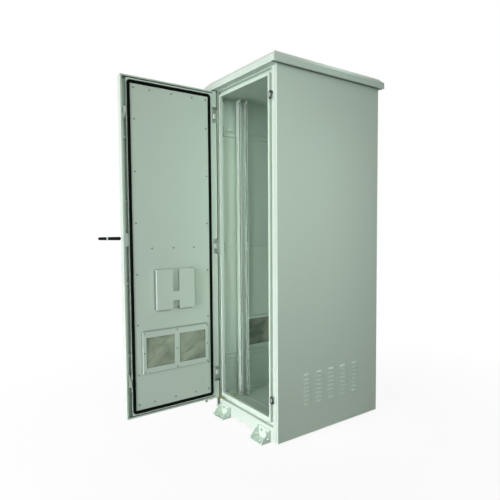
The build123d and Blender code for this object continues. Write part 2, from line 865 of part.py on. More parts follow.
def handle_spindle():
    """Spindle with its cam inside the case and a clevis with the lever's pin outside."""
    hub_back = door_outer_y - handle_plate_thick - hub_gap
    hub_front = hub_back - hub_length
    along = Rot(90, 0, 0)
    cam_low = door_skin_y + overrun
    axis_low = Pos(rod_x, 0, handle_z)
    rod = along * Cylinder(spindle_radius, cam_low - hub_back)
    shaft = axis_low * Pos(0, (hub_back + cam_low) / 2, 0) * rod
    cam = axis_low * Pos(0, cam_low + cam_thick / 2, 0) * Box(2 * cam_half_width, cam_thick, cam_length)
    hub = axis_low * Pos(0, hub_back - hub_length / 2, 0) * along * Cylinder(hub_radius, hub_length)
    spindle = shaft + cam + hub
    inner = lever_root / 2 + lever_play
    for side in (-1, 1):
        z_near = handle_z + side * inner
        z_far = z_near + side * clevis_cheek
        spindle += block(rod_x - clevis_width / 2, rod_x + clevis_width / 2,
                         hub_front - clevis_reach, hub_front, min(z_near, z_far), max(z_near, z_far))
    length = 2 * (inner + clevis_cheek)
    return spindle + Pos(rod_x, lever_pivot_y(), handle_z) * Cylinder(lever_pin_radius, length)


def handle_lever():
    """Lever on the clevis pin, drawn along +X and then lifted clear of the door."""
    pivot = lever_pivot_y()
    tip = lever_length - lever_tip_width / 2
    grip = outline_face([(lever_neck, -lever_width / 2), (tip, -lever_tip_width / 2),
                         (tip, lever_tip_width / 2), (lever_neck, lever_width / 2)])
    grip += Pos(tip, 0) * Circle(lever_tip_width / 2)
    lever = run_back(grip, -lever_thick / 2, lever_thick / 2)
    lever = chamfer(lever.faces().sort_by(Axis.Y)[0].edges(), lever_edge)
    lever += block(0, lever_neck + overrun, -lever_knuckle, lever_knuckle, -lever_root / 2, lever_root / 2)
    lever += Cylinder(lever_knuckle, lever_root)
    lever -= block(-2 * lever_knuckle, 0, -2 * lever_knuckle, 2 * lever_knuckle, -lever_root, lever_root) & (
        Box(4 * lever_knuckle, 4 * lever_knuckle, 2 * lever_root) - Cylinder(lever_knuckle, 2 * lever_root))
    lever -= Cylinder(lever_pin_radius + spindle_play, 2 * lever_root)
    return Pos(rod_x, pivot, handle_z) * Rot(0, 0, -lever_lift) * lever


def earth_stud_door():
    """Bracket under the door's lower flange that takes the earth wire."""
    x = door_left + stud_from_hinge
    y = door_face_y - stud_behind_lip
    return block(x - stud_size / 2, x + stud_size / 2, y - stud_size / 2, y + stud_size / 2,
                 door_bottom_z - stud_length, door_bottom_z)


def earth_stud_frame():
    """Bracket on the floor where the earth wire ends."""
    x, y, z = frame_wire_route[-1]
    return block(x, x + stud_size, y - stud_size / 2, y + stud_size / 2,
                 floor_z, floor_z + floor_stud_length)


def tube(points):
    """Plain round tube along straight runs joined by the widest arcs that fit."""
    points = [Vector(*point) for point in points]
    radii = []
    for before, corner, after in zip(points, points[1:], points[2:]):
        turn = radians((corner - before).get_angle(after - corner))
        run = min((corner - before).length, (after - corner).length)
        radii.append(wire_arc_share * run / tan(turn / 2))
    print("earth wire bend radii", [round(radius, 1) for radius in radii])
    path = FilletPolyline(*points, radius=radii)
    section = Plane(origin=points[0], z_dir=points[1] - points[0]) * Circle(wire_radius)
    return sweep(section, path=path)


def earth_wire_door():
    """Curly wire's outer form under the closed door, from its bracket towards the hinge pins."""
    start_x = door_left + stud_from_hinge - stud_size / 2
    start_y = door_face_y - stud_behind_lip
    reach = pin_x + door_wire_end - start_x
    shift = pin_y - start_y
    z = door_bottom_z - wire_drop
    return tube([(start_x + reach * along, start_y + shift * aside, z) for along, aside in door_wire_shares])


def earth_wire_frame():
    """Curly wire's outer form from the hinge side, through the gutter to the floor bracket."""
    return tube(frame_wire_route)


def write(name, shape):
    """One file a node; a list becomes a group of separate solids."""
    solid = Compound(children=list(shape)) if isinstance(shape, (list, tuple)) else shape
    export_step(solid, os.path.join("parts", name + ".step"))


def body_parts():
    yield "roof_cap", roof_cap()
    yield "ceiling_plate", ceiling_plate()
    yield "side_panel_right", side_panel(right_louvre_columns, right_louvre_middle, right_louvre_level, 90)
    left = side_panel(left_louvre_columns, left_louvre_middle, left_louvre_level, 90)
    yield "side_panel_left", mirrored(left)
    post = front_post()
    yield "front_post_right", post
    yield "front_post_left", mirrored(post)
    yield "front_header", cross_member(top_z, gutter_top_z, lip_top_z, open_top_z, 1)
    yield "front_sill", front_sill()
    yield "rear_panel", rear_panel()
    yield "rear_panel_screws", rear_panel_screws()
    yield "floor_plate", floor_plate()
    yield "gland_plate", gland_plate()
    yield "gland_plate_screws", gland_plate_screws()
    for name, z in zip(rail_names, rail_zs):
        rail = depth_rail(z)
        yield "depth_rail_right_" + name, rail
        yield "depth_rail_left_" + name, mirrored(rail)
    upright = rack_upright()
    yield "rack_upright_right", upright
    yield "rack_upright_left", mirrored(upright)
    brackets = upright_brackets()
    yield "upright_brackets", brackets + [mirrored(bracket) for bracket in brackets]
    frame, mat = side_filter(left_louvre_columns, left_louvre_middle, left_louvre_level)
    yield "side_filter_frame", mirrored(frame)
    yield "side_filter_mat", mirrored(mat)
    foot = anchor_foot()
    yield "anchor_feet", [foot_place(x, end) * foot for x in (-foot_centre, foot_centre) for end in (-1, 1)]
    yield "foot_bolts", foot_bolts()
    yield "rod_keepers", [keeper(upper_rod_z, 1, upper_keeper_clear),
                          keeper(lower_rod_z, -1, lower_keeper_clear)]
    yield "hinge_frame_leaves", [hinge_frame_leaf(z) for z in hinge_zs]
    yield "earth_stud_frame", earth_stud_frame()
    yield "earth_wire_frame", earth_wire_frame()


def door_parts():
    yield "door_pan", door_pan()
    yield "door_frame", door_frame()
    yield "door_cross_rail", door_cross_rail()
    yield "door_gasket", door_gasket()
    yield "door_liner", door_liner()
    yield "door_screws", liner_screws() + filter_frame_screws()
    yield "document_pocket", document_pocket()
    yield "door_filter_frame", door_filter_frame()
    for name, window in zip(("hinge_side", "free_side"), door_windows()):
        yield "door_filter_mat_" + name, door_filter_mat(window)
    yield "hinge_door_leaves", [hinge_door_leaf(z) for z in hinge_zs]
    yield "lock_case", lock_case()
    yield "rod_guides", rod_guides()
    yield "lock_rod_upper", lock_rod(*upper_rod_span())
    yield "lock_rod_lower", lock_rod(*lower_rod_span())
    yield "rod_tip_upper", rod_tip(upper_rod_z, 1)
    yield "rod_tip_lower", rod_tip(lower_rod_z, -1)
    yield "handle_plate", handle_plate()
    yield "handle_spindle", handle_spindle()
    yield "handle_lever", handle_lever()
    yield "earth_stud_door", earth_stud_door()
    yield "earth_wire_door", earth_wire_door()


os.makedirs("parts", exist_ok=True)
for part_name, part_shape in body_parts():
    write(part_name, part_shape)
for part_name, part_shape in door_parts():
    if isinstance(part_shape, list):
        write(part_name, [open_door(piece) for piece in part_shape])
    else:
        write(part_name, open_door(part_shape))
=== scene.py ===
"""Looks of the roadside utility cabinet: coated sheet, zinc, rubber, filter cloth and a curly earth wire."""
import json
from math import ceil, cos, pi, radians, sin

import bmesh
import bpy
from mathutils import Matrix, Vector, noise


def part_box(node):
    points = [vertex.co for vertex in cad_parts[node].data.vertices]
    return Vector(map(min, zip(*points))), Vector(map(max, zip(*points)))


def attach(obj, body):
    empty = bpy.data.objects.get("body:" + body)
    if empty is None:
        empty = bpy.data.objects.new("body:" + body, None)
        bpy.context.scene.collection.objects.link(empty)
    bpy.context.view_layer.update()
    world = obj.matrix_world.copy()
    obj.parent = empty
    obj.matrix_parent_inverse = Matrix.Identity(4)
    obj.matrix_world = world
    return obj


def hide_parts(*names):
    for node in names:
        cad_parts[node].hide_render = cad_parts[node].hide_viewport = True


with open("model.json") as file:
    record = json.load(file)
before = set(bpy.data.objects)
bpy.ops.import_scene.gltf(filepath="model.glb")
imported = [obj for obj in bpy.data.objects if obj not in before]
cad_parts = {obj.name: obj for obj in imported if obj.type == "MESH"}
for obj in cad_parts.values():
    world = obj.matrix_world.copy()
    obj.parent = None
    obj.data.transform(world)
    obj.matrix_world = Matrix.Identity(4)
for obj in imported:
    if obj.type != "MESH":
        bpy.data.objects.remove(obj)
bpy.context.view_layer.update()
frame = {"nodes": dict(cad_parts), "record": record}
nodes = frame["nodes"]
scene = bpy.context.scene
scene.view_settings.view_transform = "Standard"

# Camera, matched to the photograph: metres, degrees, a sensor in millimetres, and pixels of the picture
IMAGE_SIZE = 500
SENSOR = 36.0
CAMERA_PLACE = Vector((2.1336, -1.8413, 1.1495))
CAMERA_YAW = 54.265
CAMERA_PITCH = -3.050
CAMERA_ROLL = -0.379
FOCAL_PIXELS = 454.95
CENTRE_PIXEL = (254.98, 251.75)
FAR_CLIP = 100

# Rack uprights, in metres; the holes' places are shares of the pitch
SHEET = 0.002
SAME_PLANE = SHEET / 9
RACK_PITCH = 0.04445
RACK_HOLE_HEIGHT = 0.0095
RACK_HOLE_WIDTH = 0.0125
RACK_HOLE_INSET = 0.0085
RACK_HOLE_SHARES = (1 / 7, 1 / 2, 6 / 7)
# Depth of the web strip, behind the front flange, that takes painted shade
WEB_SHADE = 0.0315

# Door seal: width and corner radius in metres, and the power that rounds its dome
SEAL_WIDTH = 0.0185
SEAL_CORNER = 0.0105
SEAL_DOME_POWER = 0.6

# Filter mats: depth of the folds and step of the grid in metres
MAT_FOLD = 0.0035
MAT_STEP = 0.004

# Folds of the mats: noise a metre by y and z on two axes, slice of the noise, and share of the depth
BROAD_WAVES = ((13, 9), (-6, 15))
BROAD_SLICE = 0.3
BROAD_SHARE = 0.5
SOFT_WAVES = ((30, 22), (-12, 34))
SOFT_SLICE = 4.1
SOFT_SHARE = 0.22
MEAN_FOLD_SHARE = 0.5

# Painted shade and highlights of the cloth's folds: slant in degrees and stretch as a share
FOLD_LIE = 28.0
FOLD_STRETCH = 0.55

# Lever and its light band: metres, an angle in degrees, and ring places as shares of half the band's width
LEVER_PIVOT = Vector((-0.3154, -0.970, 1.094))
LEVER_ANGLE = 30.0
LEVER_THICK = 0.011
LEVER_ROOT_WIDTH = 0.019
LEVER_TIP_WIDTH = 0.016
LEVER_NECK = 0.016
LEVER_TIP = 0.124
BAND_PLACE = 0.083
BAND_WIDTH = 0.0075
BAND_PROUD = 0.0004
BAND_CORNER = 0.0014
BAND_RING_SHARES = (-1, -0.9, 0.9, 1)

# Earth wire: one smooth route a half, meeting on the hinge axis
WIRE_DIAMETER = 0.0026
COIL_RADIUS = 0.0049
COIL_PITCH = 0.0085
WIRE_MEETING = (-0.279, -0.4205, 0.092)
DOOR_WIRE_ROUTE = (WIRE_MEETING, (-0.279, -0.434, 0.092), (-0.273, -0.4565, 0.092), (-0.273, -0.479, 0.092))
FRAME_WIRE_ROUTE = (
    WIRE_MEETING, (-0.279, -0.408, 0.092), (-0.262, -0.394, 0.094), (-0.240, -0.364, 0.096),
    (-0.217, -0.340, 0.108), (-0.183, -0.334, 0.114), (-0.159, -0.338, 0.102), (-0.142, -0.338, 0.102),
)
ROUTE_STEPS = 24
ROUTE_ORDER = 3
STRIPE_START = Vector((0.3, 0.2, 1))
STRIPE_SHARE = 0.3

# Painted shade in folds and holes: reach in metres, and the open shares that are dark and clear
CREASE_REACH = 0.016
SMALL_CREASE_REACH = 0.008
CREASE_DARK = 0.12
CREASE_CLEAR = 0.5
EDGE_REACH = 0.022
EDGE_DARK = 0.4
EDGE_CLEAR = 0.88
CREASE_SAMPLES = 8

# Painted shade in narrow gaps: how far it goes, in metres
WALL_SHADE = 0.058
WALL_SKIN = (SHEET / 8, SHEET / 2)
SILL_SHADE = 0.07
OVERHANG_SHADE = 0.014
GAP_SHADE = 0.034

# Faces that look down an axis: the normal's part along it, where they count in full and not at all
FACING_FULL = -0.9
FACING_NONE = -0.6

# Keepers: squared distance, in half sizes, where the bright boss ends and the painted shadow round the rim
# starts
BOSS_END = 0.2
RIM_SHADOW_START = 0.4

# Tones left in the painted shade, as shares
CREASE_TONE = 0.08
DEEP_TONE = 0.02
GAP_TONE = 0.1
SILL_TONE = 0.35
RIM_SHADOW_TONE = 0.08

# Colours, as linear values, and shares that make a colour lighter or darker
COAT = (0.580, 0.688, 0.612)
COAT_WARM = (0.592, 0.688, 0.602)
# Share that makes lighter copies of the coat for the feet and the floor plate: painted light
PAINTED_LIGHT_SHARE = 1.1
ZINC = (0.44, 0.51, 0.45)
HINGE_METAL = (0.58, 0.69, 0.60)
PAINTED_SCREW = (0.30, 0.34, 0.30)
DULL_METAL = (0.17, 0.18, 0.17)
SPANGLE = 0.82
BLACK = (0.005, 0.006, 0.005)
BLACK_GRAIN = 1.8
RUBBER = (0.004, 0.005, 0.004)
RUBBER_PORES = 2
# Filter cloth: its tone on the lit side of the folds, and its painted fold shade
CLOTH = (0.375, 0.43, 0.33)
CLOTH_SHADE = (0.185, 0.235, 0.18)
# Shares that make the side wall's mat a darker copy of the door mats' cloth: painted shade
WALL_CLOTH = 0.8
WALL_CLOTH_SHADE = 0.7
WIRE_YELLOW = (0.82, 0.78, 0.22)
WIRE_GREEN = (0.10, 0.26, 0.05)
WIRE_GRAIN = 0.9
FLOOR = (0.90, 0.90, 0.90)
FLOOR_GRAIN = 1.03
FLOOR_BOUNCE = (0.31, 0.32, 0.31)

# Roughness of the coat
SATIN = 0.4
MATT = 0.8

# Surroundings: strength and tint of the soft light, and where the floor fades to white, in metres
AMBIENT = 0.22
AMBIENT_TINT = (0.93, 1.0, 0.94)
FLOOR_GLOW = 0.90
FLOOR_NEAR = 0.8
FLOOR_FAR = 2.2
FLOOR_REACH = 30

# Lamps: place, target and size in metres, power in watts, spread in degrees
SIDE_TINT = (0.90, 1.0, 0.92)
FRONT_TINT = (1.0, 0.965, 0.99)
LAMPS = {
    "front": {"place": (0.2, -5.4, 1.5), "target": (0, -0.5, 1.0), "size": (3.4, 3.0),
              "power": 236, "spread": 180, "tint": FRONT_TINT},
    "back": {"place": (-2.8, 3.0, 2.8), "target": (0, 0, 1.0), "size": (2.5, 2.5),
             "power": 90, "spread": 180, "tint": FRONT_TINT},
    "top": {"place": (0.6, 0.0, 4.2), "target": (0.36, 0.0, 0.5), "size": (0.3, 0.3),
            "power": 0.3, "spread": 14, "tint": SIDE_TINT},
    "right": {"place": (3.1, -1.6, 2.0), "target": (0.1, -0.3, 1.3), "size": (1.2, 1.2),
              "power": 5.6, "spread": 55, "tint": SIDE_TINT},
    "inside": {"place": (1.3, -2.2, 1.15), "target": (-0.45, 0.0, 1.1), "size": (0.3, 1.5),
               "power": 0.58, "spread": 14, "tint": SIDE_TINT},
    "low": {"place": (0.5, -3.5, 0.5), "target": (-0.05, -0.5, 0.1), "size": (1.4, 0.5),
            "power": 2.4, "spread": 40, "tint": FRONT_TINT},
}


def new_material(name, colour, roughness, metallic=0.0, specular=0.5):
    """A Principled material with its plain values set; returns the material and its shader."""
    mat = bpy.data.materials.new(name)
    mat.use_nodes = True
    shader = mat.node_tree.nodes["Principled BSDF"]
    shader.inputs["Base Color"].default_value = (*colour, 1)
    shader.inputs["Roughness"].default_value = roughness
    shader.inputs["Metallic"].default_value = metallic
    shader.inputs["Specular IOR Level"].default_value = specular
    return mat, shader


def place_node(mat):
    """The material's one texture-coordinate node, read in the object's own metres."""
    tree = mat.node_tree
    node = tree.nodes.get("place")
    if node is None:
        node = tree.nodes.new("ShaderNodeTexCoord")
        node.name = "place"
    return node


def texture(mat, kind, **inputs):
    """A texture laid in metres, with the named inputs set."""
    node = mat.node_tree.nodes.new(kind)
    mat.node_tree.links.new(place_node(mat).outputs["Object"], node.inputs["Vector"])
    for key, value in inputs.items():
        node.inputs[key.replace("_", " ").title()].default_value = value
    return node


def ramp(mat, source, stops):
    """A colour ramp over a value; stops are (place, colour)."""
    node = mat.node_tree.nodes.new("ShaderNodeValToRGB")
    elements = node.color_ramp.elements
    for element, (place, colour) in zip(elements, stops):
        element.position = place
        element.color = (*colour, 1)
    mat.node_tree.links.new(source, node.inputs["Fac"])
    return node.outputs["Color"]


def span(mat, source, low, high, first=0.0, last=1.0):
    """A value between low and high, spread over first to last."""
    node = mat.node_tree.nodes.new("ShaderNodeMapRange")
    for key, value in (("From Min", low), ("From Max", high), ("To Min", first), ("To Max", last)):
        node.inputs[key].default_value = value
    mat.node_tree.links.new(source, node.inputs["Value"])
    return node.outputs["Result"]


def math_node(owner, operation, first, second=None):
    """A value worked out from one or two others in a material or world; plain numbers are set on the node."""
    node = owner.node_tree.nodes.new("ShaderNodeMath")
    node.operation = operation
    for socket, value in zip(node.inputs, (first, second)):
        if isinstance(value, (int, float)):
            socket.default_value = value
        elif value is not None:
            owner.node_tree.links.new(value, socket)
    return node.outputs[0]


def band(mat, source, low, high):
    """One between low and high, fading to nought over a sheet's thickness beyond them."""
    begin = span(mat, source, low - SHEET, low)
    end = span(mat, source, high, high + SHEET, 1.0, 0.0)
    return math_node(mat, "MULTIPLY", begin, end)


def axes(mat):
    """The place's X, Y and Z, in metres."""
    node = mat.node_tree.nodes.new("ShaderNodeSeparateXYZ")
    mat.node_tree.links.new(place_node(mat).outputs["Object"], node.inputs["Vector"])
    return [node.outputs[axis] for axis in "XYZ"]


def facing_back(mat, axis):
    """One on faces that look down an axis, such as undersides on Z and fronts on Y."""
    node = mat.node_tree.nodes.new("ShaderNodeNewGeometry")
    parts = mat.node_tree.nodes.new("ShaderNodeSeparateXYZ")
    mat.node_tree.links.new(node.outputs["Normal"], parts.inputs["Vector"])
    return span(mat, parts.outputs[axis], FACING_FULL, FACING_NONE, 1.0, 0.0)


def dim(mat, tone, share):
    """The tone scaled by a share."""
    node = mat.node_tree.nodes.new("ShaderNodeVectorMath")
    node.operation = "SCALE"
    mat.node_tree.links.new(tone, node.inputs[0])
    mat.node_tree.links.new(share, node.inputs["Scale"])
    return node.outputs[0]


def redim(mat, share):
    """Scale a finished material's tone by one more share."""
    colour = mat.node_tree.nodes["Principled BSDF"].inputs["Base Color"]
    mat.node_tree.links.new(dim(mat, colour.links[0].from_socket, share), colour)


def shade_where(mat, hidden, tone):
    """Bring a finished material down to a share of its tone where hidden is one."""
    redim(mat, span(mat, hidden, 0, 1, 1.0, tone))


def crease_shade(mat, tone, reach, dark=CREASE_DARK, clear=CREASE_CLEAR):
    """The tone, darker in folds, gaps and holes where little light comes in: painted shade from an
    ambient-occlusion reading.
    """
    node = mat.node_tree.nodes.new("ShaderNodeAmbientOcclusion")
    node.samples = CREASE_SAMPLES
    node.inputs["Distance"].default_value = reach
    return dim(mat, tone, span(mat, node.outputs["AO"], dark, clear, CREASE_TONE, 1.0))


def paint(mat, shader, tone):
    """Give the shader a tone that varies over the surface."""
    mat.node_tree.links.new(tone, shader.inputs["Base Color"])


def uneven_gloss(mat, shader, source, low, high):
    """Roughness that follows a texture from low to high."""
    mat.node_tree.links.new(span(mat, source, 0, 1, low, high), shader.inputs["Roughness"])


def bump(mat, shader, source, strength, distance):
    """Fine relief that follows a texture."""
    node = mat.node_tree.nodes.new("ShaderNodeBump")
    node.inputs["Strength"].default_value = strength
    node.inputs["Distance"].default_value = distance
    mat.node_tree.links.new(source, node.inputs["Height"])
    mat.node_tree.links.new(node.outputs["Normal"], shader.inputs["Normal"])


def shaded(colour, share):
    """A colour made lighter or darker by a share."""
    return tuple(share * c for c in colour)


def powder_coat(name, share=1.0, roughness=SATIN, reach=0.0, dark=CREASE_DARK, clear=CREASE_CLEAR):
    """Satin powder coat: faint cloudiness, uneven gloss and a fine orange-peel skin, with painted shade in
    creases where a reach is given.
    """
    colour, warm = shaded(COAT, share), shaded(COAT_WARM, share)
    mat, shader = new_material(name, colour, roughness)
    cloud = texture(mat, "ShaderNodeTexNoise", scale=2.2, detail=4.0, roughness=0.6)
    tone = ramp(mat, cloud.outputs["Fac"], [(0.35, colour), (0.65, warm)])
    paint(mat, shader, crease_shade(mat, tone, reach, dark, clear) if reach else tone)
    gloss = texture(mat, "ShaderNodeTexNoise", scale=14.0, detail=3.0)
    uneven_gloss(mat, shader, gloss.outputs["Fac"], low=roughness - 0.05, high=roughness + 0.06)
    peel = texture(mat, "ShaderNodeTexNoise", scale=650.0, detail=2.0)
    bump(mat, shader, peel.outputs["Fac"], strength=0.12, distance=0.0003)
    return mat


def shaded_wall(name):
    """The side wall's coat, with painted deep shade on its inner face in the narrow space behind each
    upright.
    """
    mat = powder_coat(name, reach=CREASE_REACH)
    x, y, _ = axes(mat)
    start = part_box("rack_upright_left")[1][1]
    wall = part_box("depth_rail_right_middle")[1][0]
    behind = band(mat, y, start, start + WALL_SHADE)
    skin_start, skin_end = (wall + depth for depth in WALL_SKIN)
    within = span(mat, math_node(mat, "ABSOLUTE", x), skin_start, skin_end, 1.0, 0.0)
    shade_where(mat, math_node(mat, "MULTIPLY", behind, within), DEEP_TONE)
    return mat


def shaded_floor(name):
    """The floor's coat as a lighter copy, painted light, with painted shade in creases and a painted shadow
    of the sill along its front edge.
    """
    mat = powder_coat(name, PAINTED_LIGHT_SHARE, reach=CREASE_REACH)
    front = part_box("floor_plate")[0][1]
    redim(mat, span(mat, axes(mat)[1], front + SILL_SHADE / 2, front + SILL_SHADE, SILL_TONE, 1.0))
    return mat


def shaded_roof(name):
    """The roof's coat, with painted shade on the underside of its overhang along the side walls."""
    mat = powder_coat(name, reach=CREASE_REACH)
    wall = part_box("side_panel_right")[1][0]
    near = band(mat, math_node(mat, "ABSOLUTE", axes(mat)[0]), wall, wall + OVERHANG_SHADE)
    shade_where(mat, math_node(mat, "MULTIPLY", near, facing_back(mat, "Z")), GAP_TONE)
    return mat


def shaded_post(name):
    """The hinge post's coat, with painted shade on its front strip in the gap behind the door's hinge edge.
    """
    mat = powder_coat(name, reach=CREASE_REACH)
    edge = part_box("front_post_left")[0][0] + GAP_SHADE
    near = span(mat, axes(mat)[0], edge, edge + SHEET, 1.0, 0.0)
    shade_where(mat, math_node(mat, "MULTIPLY", near, facing_back(mat, "Y")), GAP_TONE)
    return mat


def zinc_plate(name, colour, roughness):
    """Zinc-plated steel with a faint spangle, an uneven grain and painted shade in creases."""
    mat, shader = new_material(name, colour, roughness, metallic=0.8)
    spangle = texture(mat, "ShaderNodeTexVoronoi", scale=260.0)
    tone = ramp(mat, spangle.outputs["Distance"], [(0.0, colour), (0.8, shaded(colour, SPANGLE))])
    paint(mat, shader, crease_shade(mat, tone, SMALL_CREASE_REACH))
    grain = texture(mat, "ShaderNodeTexNoise", scale=180.0, detail=4.0)
    uneven_gloss(mat, shader, grain.outputs["Fac"], low=roughness - 0.08, high=roughness + 0.12)
    bump(mat, shader, grain.outputs["Fac"], strength=0.08, distance=0.0002)
    return mat


def keeper_metal(name):
    """Plated keepers with a bright boss inside a rim of painted shadow, and painted shade in creases."""
    mat = zinc_plate(name, HINGE_METAL, roughness=0.4)
    low, high = (Vector(corner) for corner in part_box("rod_keepers"))
    waist = (low.z + high.z) / 2
    lower = [vertex.co.z for vertex in nodes["rod_keepers"].data.vertices if vertex.co.z < waist]
    half = (max(lower) - min(lower)) / 2
    x, _, z = axes(mat)
    beside = math_node(mat, "SUBTRACT", x, (low.x + high.x) / 2)
    across = math_node(mat, "DIVIDE", beside, (high.x - low.x) / 2)
    from_waist = math_node(mat, "ABSOLUTE", math_node(mat, "SUBTRACT", z, waist))
    along = math_node(mat, "DIVIDE", math_node(mat, "SUBTRACT", from_waist, waist - min(lower) - half), half)
    squares = [math_node(mat, "MULTIPLY", part, part) for part in (across, along)]
    redim(mat, span(mat, math_node(mat, "ADD", *squares), BOSS_END, RIM_SHADOW_START, 1.0, RIM_SHADOW_TONE))
    return mat


def foam_rubber(name):
    """Matt black foamed seal with fine pores."""
    mat, shader = new_material(name, RUBBER, roughness=0.8, specular=0.02)
    pores = texture(mat, "ShaderNodeTexNoise", scale=900.0, detail=3.0)
    paint(mat, shader, ramp(mat, pores.outputs["Fac"], [(0.3, RUBBER), (0.8, shaded(RUBBER, RUBBER_PORES))]))
    uneven_gloss(mat, shader, pores.outputs["Fac"], low=0.7, high=0.9)
    bump(mat, shader, pores.outputs["Fac"], strength=0.2, distance=0.0002)
    return mat


def filter_cloth(name, light, shade):
    """Slack satin filter cloth with a fine weave, painted shade and highlights of soft folds laid aslant, and
    painted shade along its edges.
    """
    mat, shader = new_material(name, light, roughness=0.5)
    links = mat.node_tree.links
    folds = texture(mat, "ShaderNodeTexNoise", scale=6.0, detail=5.0, distortion=0.8)
    lie = mat.node_tree.nodes.new("ShaderNodeMapping")
    lie.vector_type = "TEXTURE"
    lie.inputs["Rotation"].default_value = (radians(FOLD_LIE), 0, 0)
    lie.inputs["Scale"].default_value = (1, 1, FOLD_STRETCH)
    links.new(place_node(mat).outputs["Object"], lie.inputs["Vector"])
    links.new(lie.outputs["Vector"], folds.inputs["Vector"])
    # Painted shade and highlights that follow the folds' noise
    tone = ramp(mat, folds.outputs["Fac"], [(0.38, shade), (0.62, light)])
    paint(mat, shader, crease_shade(mat, tone, EDGE_REACH, EDGE_DARK, EDGE_CLEAR))
    weave = texture(mat, "ShaderNodeTexVoronoi", scale=620.0)
    bump(mat, shader, weave.outputs["Distance"], strength=0.2, distance=0.0004)
    shader.inputs["Sheen Weight"].default_value = 0.25
    return mat


def satin_black(name, colour):
    """Black moulded grip with a fine grain."""
    mat, shader = new_material(name, colour, roughness=0.4, specular=0.08)
    grain = texture(mat, "ShaderNodeTexNoise", scale=420.0, detail=3.0)
    paint(mat, shader, ramp(mat, grain.outputs["Fac"], [(0.3, colour), (0.8, shaded(colour, BLACK_GRAIN))]))
    uneven_gloss(mat, shader, grain.outputs["Fac"], low=0.34, high=0.5)
    bump(mat, shader, grain.outputs["Fac"], strength=0.15, distance=0.0002)
    return mat


def insulation(name, colour):
    """Smooth wire insulation with a faint grain."""
    mat, shader = new_material(name, colour, roughness=0.38)
    grain = texture(mat, "ShaderNodeTexNoise", scale=500.0, detail=2.0)
    paint(mat, shader, ramp(mat, grain.outputs["Fac"], [(0.3, shaded(colour, WIRE_GRAIN)), (0.7, colour)]))
    uneven_gloss(mat, shader, grain.outputs["Fac"], low=0.3, high=0.45)
    return mat


# The main coat, with painted shade in creases
coat = powder_coat("powder_coat", reach=CREASE_REACH)
# The feet's coat: a lighter copy of the coat as painted light, with painted shade in creases
foot_coat = powder_coat("foot_coat", PAINTED_LIGHT_SHARE, reach=SMALL_CREASE_REACH)
wall_coat = shaded_wall("wall_coat")
roof_coat = shaded_roof("roof_coat")
post_coat = shaded_post("post_coat")
# The liner's coat, with stronger and wider painted shade along its creases and edges
liner_coat = powder_coat("liner_coat", reach=EDGE_REACH, dark=EDGE_DARK, clear=EDGE_CLEAR)
floor_coat = shaded_floor("floor_coat")
upright_coat = powder_coat("upright_coat")
# Near-black coat for holes' sides and hidden strips: painted shade
deep_shade = powder_coat("deep_shade", DEEP_TONE, MATT)
zinc = zinc_plate("zinc", ZINC, roughness=0.36)
dull_metal = zinc_plate("dull_metal", DULL_METAL, roughness=0.45)
keepers = keeper_metal("keeper_metal")
hinge_metal = zinc_plate("hinge_metal", HINGE_METAL, roughness=0.42)
screw_metal = zinc_plate("screw_metal", PAINTED_SCREW, roughness=0.5)
black = satin_black("satin_black", BLACK)
seal = foam_rubber("seal_rubber")
cloth = filter_cloth("filter_cloth", CLOTH, CLOTH_SHADE)
# The side wall's mat: the same cloth, darker as painted shade
wall_cloth = filter_cloth(
    "wall_filter_cloth", shaded(CLOTH, WALL_CLOTH), shaded(CLOTH_SHADE, WALL_CLOTH_SHADE))
yellow = insulation("wire_yellow", WIRE_YELLOW)
green = insulation("wire_green", WIRE_GREEN)

SLOT_LOOKS = {
    "coat": coat, "inner_coat": coat, "foot_coat": foot_coat, "zinc": zinc, "hinge_metal": hinge_metal,
    "lock_metal": zinc, "black_grip": black, "seal": seal, "filter_mat": cloth, "wire": yellow,
}
NODE_LOOKS = {
    "side_panel_left": wall_coat, "side_panel_right": wall_coat, "floor_plate": floor_coat,
    "roof_cap": roof_coat, "front_post_left": post_coat, "door_liner": liner_coat,
    "document_pocket": liner_coat, "rod_keepers": keepers, "door_screws": screw_metal,
    "foot_bolts": hinge_metal, "gland_plate_screws": dull_metal, "rear_panel_screws": dull_metal,
}
for row in frame["record"]["subparts"]:
    mesh = nodes[row["node"]].data
    mesh.materials.clear()
    mesh.materials.append(NODE_LOOKS.get(row["node"], SLOT_LOOKS[row["material_slot"]]))


def add_mesh(name, points, faces, mat, body, smooth=False):
    """A new piece from points in the row frame, riding on a body."""
    mesh = bpy.data.meshes.new(name)
    mesh.from_pydata([tuple(p) for p in points], [], faces)
    mesh.materials.append(mat)
    whole = bmesh.new()
    whole.from_mesh(mesh)
    bmesh.ops.recalc_face_normals(whole, faces=whole.faces)
    whole.to_mesh(mesh)
    whole.free()
    mesh.polygons.foreach_set("use_smooth", [smooth] * len(mesh.polygons))
    piece = bpy.data.objects.new(name, mesh)
    scene.collection.objects.link(piece)
    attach(piece, body)
    return piece


def ring_sweep(rings, closed):
    """Quads between neighbouring rings of points; an open sweep gets two end caps."""
    around = len(rings[0])
    points = [point for ring in rings for point in ring]
    faces = []
    for i in range(len(rings) if closed else len(rings) - 1):
        here, there = i * around, (i + 1) % len(rings) * around
        for k in range(around):
            after = (k + 1) % around
            faces.append((here + k, here + after, there + after, there + k))
    if not closed:
        faces.append(tuple(range(around))[::-1])
        faces.append(tuple(len(points) - around + k for k in range(around)))
    return points, faces


